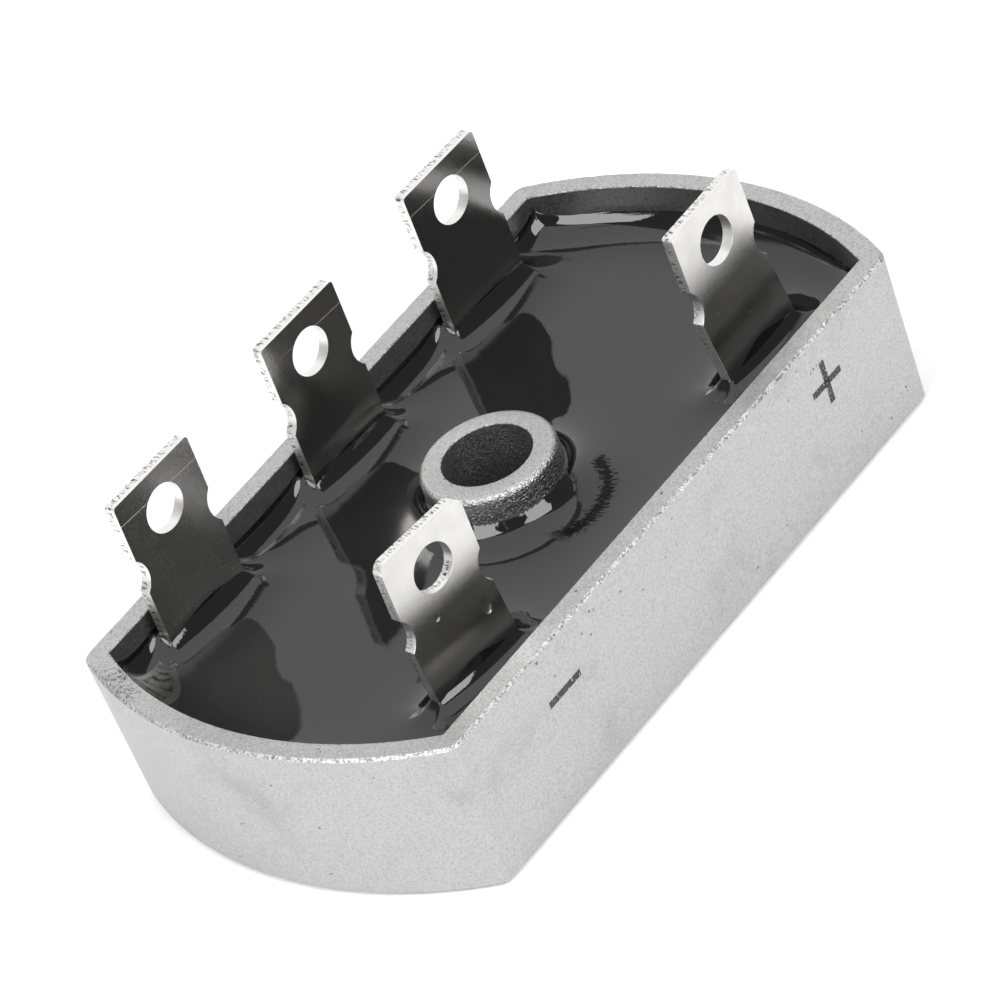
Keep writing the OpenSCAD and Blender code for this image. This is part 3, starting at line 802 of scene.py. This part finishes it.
def dent(piece, skin, face_point, front, radius):
    """Presses two shallow dents into the negative lug, where its bend begins."""
    across = Vector((0, 0, 1)).cross(front)
    for u, z, size, long in DENTS:
        cutter = bmesh.new()
        bmesh.ops.create_icosphere(cutter, subdivisions=5, radius=radius * size)
        bmesh.ops.scale(cutter, verts=cutter.verts, vec=(0.8, 0.2, long))
        start = face_point + across * u * MM + Vector((0, 0, z * MM)) + front * 5 * MM
        touched, normal, _, _ = skin.ray_cast(start, -front)
        if touched is None:
            raise RuntimeError("a dent misses the negative lug")
        tilt = Vector((0, -1, 0)).rotation_difference(normal).to_matrix()
        bmesh.ops.rotate(cutter, verts=cutter.verts, matrix=tilt)
        bmesh.ops.translate(cutter, verts=cutter.verts, vec=touched + normal * DENT_OUT)
        mesh = bpy.data.meshes.new("dent")
        cutter.to_mesh(mesh)
        cutter.free()
        tool = bpy.data.objects.new("dent", mesh)
        bpy.context.scene.collection.objects.link(tool)
        cut = piece.modifiers.new("dent", "BOOLEAN")
        cut.object, cut.operation, cut.solver = tool, "DIFFERENCE", "EXACT"
        bpy.context.view_layer.objects.active = piece
        bpy.ops.object.modifier_move_to_index(modifier=cut.name, index=0)
        with bpy.context.temp_override(object=piece, active_object=piece):
            bpy.ops.object.modifier_apply(modifier=cut.name)
        bpy.data.objects.remove(tool)


class RECTIFIER_OT_marks(bpy.types.Operator):
    """Make the printed plus and minus marks on the tray's front"""

    bl_idname = "rectifier.marks"
    bl_label = "Polarity marks"

    def execute(self, context):
        sizes, colours = context.scene.rectifier_sizes, context.scene.rectifier_colours
        ink = stamped_ink("stamped_black_ink", colours.ink, colours.aluminium)
        stroke = sizes.mark_stroke / MM
        # Middle along and up, width and height of each stroke, in millimetres
        plus = [(15.6, 8.15, stroke, 3.3), (15.55, 8.1, 3.1, stroke)]
        minus = [(-14.05, 7.8, 3.3, stroke)]
        for name, strokes in (("plus_mark", plus), ("minus_mark", minus)):
            bm = bmesh.new()
            for x, z, width, height in strokes:
                made = bmesh.ops.create_cube(bm, size=1)["verts"]
                bmesh.ops.scale(bm, verts=made, vec=(width * MM, MARK_INK, height * MM))
                bmesh.ops.translate(bm, verts=made, vec=(x * MM, 0, z * MM))
            lean = DRAFT / RIM_Z
            for vert in bm.verts:
                face_y = -CASE_TOP.y + lean * (RIM_Z - vert.co.z)
                vert.co.y += face_y
            finished(name, bm, [ink])
        return {"FINISHED"}


def dress(node, material):
    """Gives a shown CAD node its finish."""
    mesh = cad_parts[node].data
    mesh.materials.clear()
    mesh.materials.append(material)


class RECTIFIER_OT_inside(bpy.types.Operator):
    """Set the finishes of the pieces that the resin covers"""

    bl_idname = "rectifier.inside"
    bl_label = "Inner pieces"

    def execute(self, context):
        for nodes, material in (
            (COPPER_NODES, inner_solid("rolled_copper", linear("#C27A55"), 1, 0.35, 0.4)),
            (CHIP_NODES, inner_solid("sawn_silicon", linear("#4A4C52"), 0, 0.3, 0.3)),
            (SOLDER_NODES, inner_solid("cast_solder", linear("#B4B6B8"), 1, 0.4, 0.4)),
            (("ceramic_insulator",),
             inner_solid("fired_alumina", linear("#ECE8DE"), 0, 0.5, 0.3)),
            (("insulator_adhesive",),
             inner_solid("cured_adhesive", linear("#DAD6CA"), 0, 0.5, 0.5)),
        ):
            for node in nodes:
                dress(node, material)
        return {"FINISHED"}


def lay_floor(scene, colour):
    """Lays the studio's paper floor under the part."""
    bm = bmesh.new()
    bmesh.ops.create_grid(bm, x_segments=1, y_segments=1, size=FLOOR_HALF)
    mesh = bpy.data.meshes.new("floor")
    bm.to_mesh(mesh)
    bm.free()
    floor = bpy.data.objects.new("floor", mesh)
    scene.collection.objects.link(floor)
    mesh.materials.append(pale_paper("pale_paper", colour))


def light_room(scene):
    """Lights the room: a white backdrop behind the object, and dim walls elsewhere."""
    world = bpy.data.worlds.new("studio")
    scene.world = world
    world.use_nodes = True
    tree = world.node_tree
    tree.nodes.clear()
    way = add(tree, "ShaderNodeTexCoord").outputs["Generated"]
    height = add(tree, "ShaderNodeSeparateXYZ", {"Vector": way}).outputs["Z"]
    ahead = add(tree, "ShaderNodeVectorMath", {0: way, 1: BACKDROP_WAY},
                operation="DOT_PRODUCT").outputs["Value"]
    behind = add(tree, "ShaderNodeMapRange", {
        "Value": ahead, "From Min": BACKDROP_SIDES[0], "From Max": BACKDROP_SIDES[1],
        "To Min": 0, "To Max": 1},
        interpolation_type="SMOOTHSTEP")
    below_top = add(tree, "ShaderNodeMapRange", {
        "Value": height, "From Min": BACKDROP_TOP[0], "From Max": BACKDROP_TOP[1],
        "To Min": 1, "To Max": 0},
        interpolation_type="SMOOTHSTEP")
    card = add(tree, "ShaderNodeMath", {
        0: behind.outputs["Result"], 1: below_top.outputs["Result"]}, operation="MULTIPLY")
    strength = add(tree, "ShaderNodeMapRange", {
        "Value": card.outputs["Value"], "To Min": ROOM_LIGHT, "To Max": BACKDROP_LIGHT})
    light = add(tree, "ShaderNodeBackground", {
        "Color": (1, 1, 1, 1), "Strength": strength.outputs["Result"]})
    add(tree, "ShaderNodeOutputWorld", {"Surface": light.outputs["Background"]})


def hang_softboxes(scene):
    """Hangs the softboxes, each turned to the part."""
    for name, place, size, radiance in SOFTBOXES:
        lamp = bpy.data.lights.new(name, "AREA")
        lamp.shape = "SQUARE"
        lamp.size = size
        lamp.energy = radiance * math.pi * size**2
        turn = Vector(place).to_track_quat("Z", "Y").to_matrix().to_4x4()
        light = bpy.data.objects.new(name, lamp)
        light.matrix_world = Matrix.Translation(place) @ turn
        scene.collection.objects.link(light)


def set_camera(scene):
    """Sets the camera where the photo was taken from."""
    lens = bpy.data.cameras.new("camera")
    lens.sensor_width = SENSOR_MM
    lens.lens = LENS_MM
    lens.clip_start = 0.01
    lens.clip_end = 20
    turn = Matrix((CAMERA_RIGHT, -CAMERA_DOWN, -CAMERA_AHEAD)).transposed().to_4x4()
    camera = bpy.data.objects.new("camera", lens)
    camera.matrix_world = Matrix.Translation(CAMERA_PLACE) @ turn
    scene.collection.objects.link(camera)
    scene.camera = camera
    scene.view_settings.view_transform = "Standard"


class RECTIFIER_OT_stage(bpy.types.Operator):
    """Make the floor, the studio light and the camera"""

    bl_idname = "rectifier.stage"
    bl_label = "Stage"

    def execute(self, context):
        scene = context.scene
        lay_floor(scene, scene.rectifier_colours.floor)
        light_room(scene)
        hang_softboxes(scene)
        set_camera(scene)
        return {"FINISHED"}


STEPS = (
    RECTIFIER_OT_tray, RECTIFIER_OT_resin, RECTIFIER_OT_lugs, RECTIFIER_OT_marks,
    RECTIFIER_OT_inside, RECTIFIER_OT_stage,
)


class RECTIFIER_PT_panel(bpy.types.Panel):
    """Sizes, colours and steps of the rectifier"""

    bl_label = "Bridge rectifier"
    bl_idname = "RECTIFIER_PT_panel"
    bl_space_type = "VIEW_3D"
    bl_region_type = "UI"
    bl_category = "Rectifier"

    def draw(self, context):
        for group in (context.scene.rectifier_sizes, context.scene.rectifier_colours):
            column = self.layout.column()
            for name in group.__annotations__:
                column.prop(group, name)
        for step in STEPS:
            self.layout.operator(step.bl_idname)


CLASSES = (RectifierSizes, RectifierColours, *STEPS, RECTIFIER_PT_panel)


def register():
    for cls in CLASSES:
        bpy.utils.register_class(cls)
    bpy.types.Scene.rectifier_sizes = PointerProperty(type=RectifierSizes)
    bpy.types.Scene.rectifier_colours = PointerProperty(type=RectifierColours)


def unregister():
    del bpy.types.Scene.rectifier_colours
    del bpy.types.Scene.rectifier_sizes
    for cls in reversed(CLASSES):
        bpy.utils.unregister_class(cls)


def main():
    """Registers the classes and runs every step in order."""
    register()
    for step in STEPS:
        group, name = step.bl_idname.split(".")
        getattr(getattr(bpy.ops, group), name)()
    bpy.context.view_layer.update()


if __name__ == "__main__":
    main()
